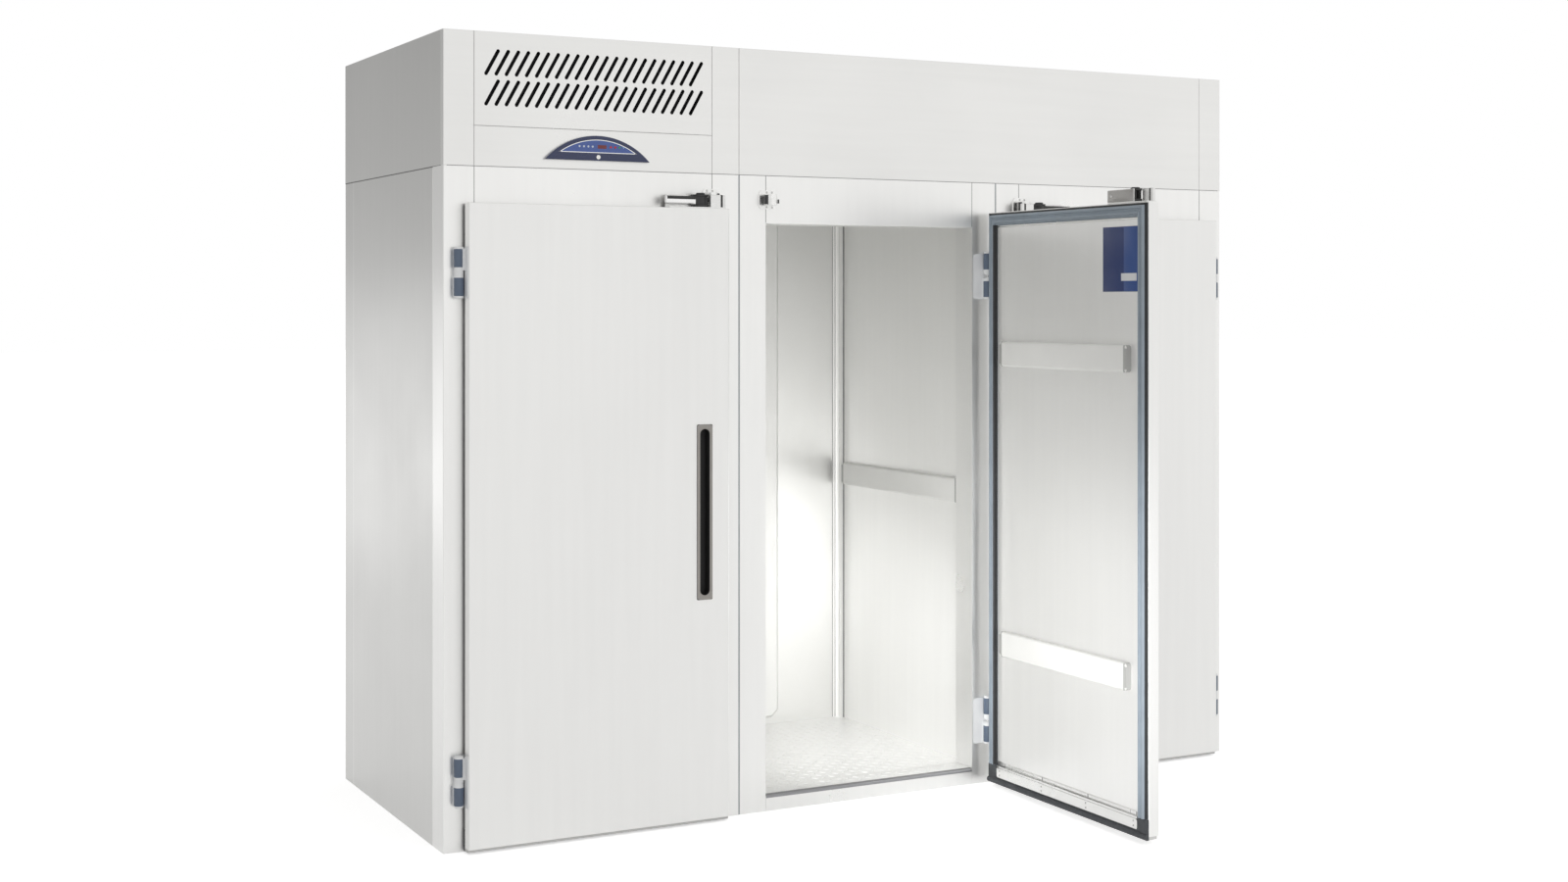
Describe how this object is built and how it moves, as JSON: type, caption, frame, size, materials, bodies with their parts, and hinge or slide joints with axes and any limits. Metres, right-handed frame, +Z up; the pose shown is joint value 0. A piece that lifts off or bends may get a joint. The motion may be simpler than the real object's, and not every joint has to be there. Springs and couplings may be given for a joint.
{
  "type": "three-door commercial refrigerator",
  "caption": "Wide stainless roll-in refrigerator: tall swing doors with recessed pulls, top latches and cam-lift hinges over deep empty bays, under a fascia with a slanted-slot grille.",
  "frame": {"origin": "middle of the cabinet's footprint, on the floor", "axes": "+X along the row of doors, +Y from the doors into the cabinet, +Z up"},
  "size_m": [2.76, 1.843, 2.3],
  "materials": {
    "cabinet_steel": "satin",
    "frame_steel": "satin",
    "door_steel": "satin",
    "liner_steel": "satin",
    "fascia_steel": "satin",
    "tread_steel": "satin",
    "rail_white": "satin",
    "handle_black": "satin",
    "gasket_grey": "satin",
    "sweep_rubber": "matte",
    "strip_steel": "satin",
    "hinge_metal": "satin",
    "pin_steel": "gloss",
    "latch_chrome": "polished",
    "strike_metal": "polished",
    "controller_blue": "gloss",
    "key_red": "gloss",
    "lock_chrome": "polished",
    "galvanised": "satin",
    "compressor_black": "gloss",
    "coil_aluminium": "satin",
    "coil_black": "satin",
    "shroud_black": "satin",
    "fan_plastic": "satin",
    "pipe_copper": "satin"
  },
  "bodies": {
    "cabinet": {"side_panels": "cabinet_steel", "partitions": "liner_steel", "back_panels": "cabinet_steel", "roof_panels": "liner_steel", "bay_floors": "tread_steel", "front_frame": "frame_steel", "duct_covers": "liner_steel", "wall_bumpers": "rail_white", "fascia_posts": "fascia_steel", "grille_panel": "fascia_steel", "control_panel": "fascia_steel", "fascia_panel": "fascia_steel", "top_covers": "cabinet_steel", "controller_housing": "controller_blue", "plant_tray": "galvanised", "condenser_coil": "coil_black", "fan_shroud": "shroud_black", "compressor": "compressor_black", "evaporator_boxes": "galvanised", "evaporator_coils": "coil_aluminium", "refrigerant_pipes": "pipe_copper", "frame_hinges": "hinge_metal", "strikes": "strike_metal"},
    "hinge_pins_1": {"hinge_pins_1": "pin_steel"},
    "door_1": {"door_panel_1": "door_steel", "handle_cup_1": "handle_black", "gasket_1": "gasket_grey", "door_rails_1": "rail_white", "door_sweep_1": "sweep_rubber", "sweep_strip_1": "strip_steel", "door_hinges_1": "hinge_metal", "latch_case_1": "latch_chrome"},
    "latch_1": {"latch_lever_1": "latch_chrome"},
    "hinge_pins_2": {"hinge_pins_2": "pin_steel"},
    "door_2": {"door_panel_2": "door_steel", "handle_cup_2": "handle_black", "gasket_2": "gasket_grey", "door_rails_2": "rail_white", "door_sweep_2": "sweep_rubber", "sweep_strip_2": "strip_steel", "door_hinges_2": "hinge_metal", "latch_case_2": "latch_chrome"},
    "latch_2": {"latch_lever_2": "latch_chrome"},
    "hinge_pins_3": {"hinge_pins_3": "pin_steel"},
    "door_3": {"door_panel_3": "door_steel", "handle_cup_3": "handle_black", "gasket_3": "gasket_grey", "door_rails_3": "rail_white", "door_sweep_3": "sweep_rubber", "sweep_strip_3": "strip_steel", "door_hinges_3": "hinge_metal", "latch_case_3": "latch_chrome"},
    "latch_3": {"latch_lever_3": "latch_chrome"},
    "key_up": {"key_up": "key_red"},
    "key_down": {"key_down": "key_red"},
    "key_lock": {"key_lock": "lock_chrome"},
    "condenser_fan": {"condenser_fan": "fan_plastic"},
    "evaporator_fan_1": {"evaporator_fan_1": "fan_plastic"},
    "evaporator_fan_2": {"evaporator_fan_2": "fan_plastic"},
    "evaporator_fan_3": {"evaporator_fan_3": "fan_plastic"}
  },
  "joints": [
    {"name": "door_1_swing", "type": "hinge", "parent": "cabinet", "child": "hinge_pins_1", "pos_m": [-1.34, -0.5185, 0.2], "axis": [0, 0, -1], "range_deg": [0, 100]},
    {"name": "door_1_lift", "type": "slide", "parent": "hinge_pins_1", "child": "door_1", "axis": [0, 0, 1], "range_m": [0, 0.009]},
    {"name": "latch_1_turn", "type": "hinge", "parent": "door_1", "child": "latch_1", "pos_m": [-0.605, -0.5375, 1.835], "axis": [0, 0, 1], "range_deg": [0, 30], "stiffness_Nm_per_rad": 0.5},
    {"name": "door_2_swing", "type": "hinge", "parent": "cabinet", "child": "hinge_pins_2", "pos_m": [0.42, -0.5185, 0.2], "axis": [0, 0, 1], "range_deg": [-90, 10]},
    {"name": "door_2_lift", "type": "slide", "parent": "hinge_pins_2", "child": "door_2", "axis": [0, 0, 1], "range_m": [-0.0081, 0.001]},
    {"name": "latch_2_turn", "type": "hinge", "parent": "door_2", "child": "latch_2", "pos_m": [0.439, -1.2535, 1.843], "axis": [0, 0, -1], "range_deg": [0, 30], "stiffness_Nm_per_rad": 0.5},
    {"name": "door_3_swing", "type": "hinge", "parent": "cabinet", "child": "hinge_pins_3", "pos_m": [1.34, -0.5185, 0.2], "axis": [0, 0, 1], "range_deg": [0, 100]},
    {"name": "door_3_lift", "type": "slide", "parent": "hinge_pins_3", "child": "door_3", "axis": [0, 0, 1], "range_m": [0, 0.009]},
    {"name": "latch_3_turn", "type": "hinge", "parent": "door_3", "child": "latch_3", "pos_m": [0.605, -0.5375, 1.835], "axis": [0, 0, -1], "range_deg": [0, 30], "stiffness_Nm_per_rad": 0.5},
    {"name": "key_up_press", "type": "slide", "parent": "cabinet", "child": "key_up", "axis": [0, 1, 0], "range_m": [0, 0.001], "stiffness_N_per_m": 60},
    {"name": "key_down_press", "type": "slide", "parent": "cabinet", "child": "key_down", "axis": [0, 1, 0], "range_m": [0, 0.001], "stiffness_N_per_m": 60},
    {"name": "key_lock_turn", "type": "hinge", "parent": "cabinet", "child": "key_lock", "pos_m": [-0.92, -0.5125, 1.956], "axis": [0, 1, 0], "range_deg": [0, 90]},
    {"name": "condenser_fan_spin", "type": "hinge", "parent": "cabinet", "child": "condenser_fan", "pos_m": [-0.91, -0.3785, 2.071], "axis": [0, 1, 0], "continuous": true},
    {"name": "evaporator_fan_1_spin", "type": "hinge", "parent": "cabinet", "child": "evaporator_fan_1", "pos_m": [-0.92, 0.03, 1.89], "axis": [0, 0, 1], "continuous": true},
    {"name": "evaporator_fan_2_spin", "type": "hinge", "parent": "cabinet", "child": "evaporator_fan_2", "pos_m": [0, 0.03, 1.89], "axis": [0, 0, 1], "continuous": true},
    {"name": "evaporator_fan_3_spin", "type": "hinge", "parent": "cabinet", "child": "evaporator_fan_3", "pos_m": [0.92, 0.03, 1.89], "axis": [0, 0, 1], "continuous": true}
  ],
  "couplings": [
    {"joint": "door_1_lift", "follows": "door_1_swing", "m_per_rad": 0.005093},
    {"joint": "door_2_lift", "follows": "door_2_swing", "m_per_rad": 0.005093},
    {"joint": "door_3_lift", "follows": "door_3_swing", "m_per_rad": 0.005093}
  ]
}
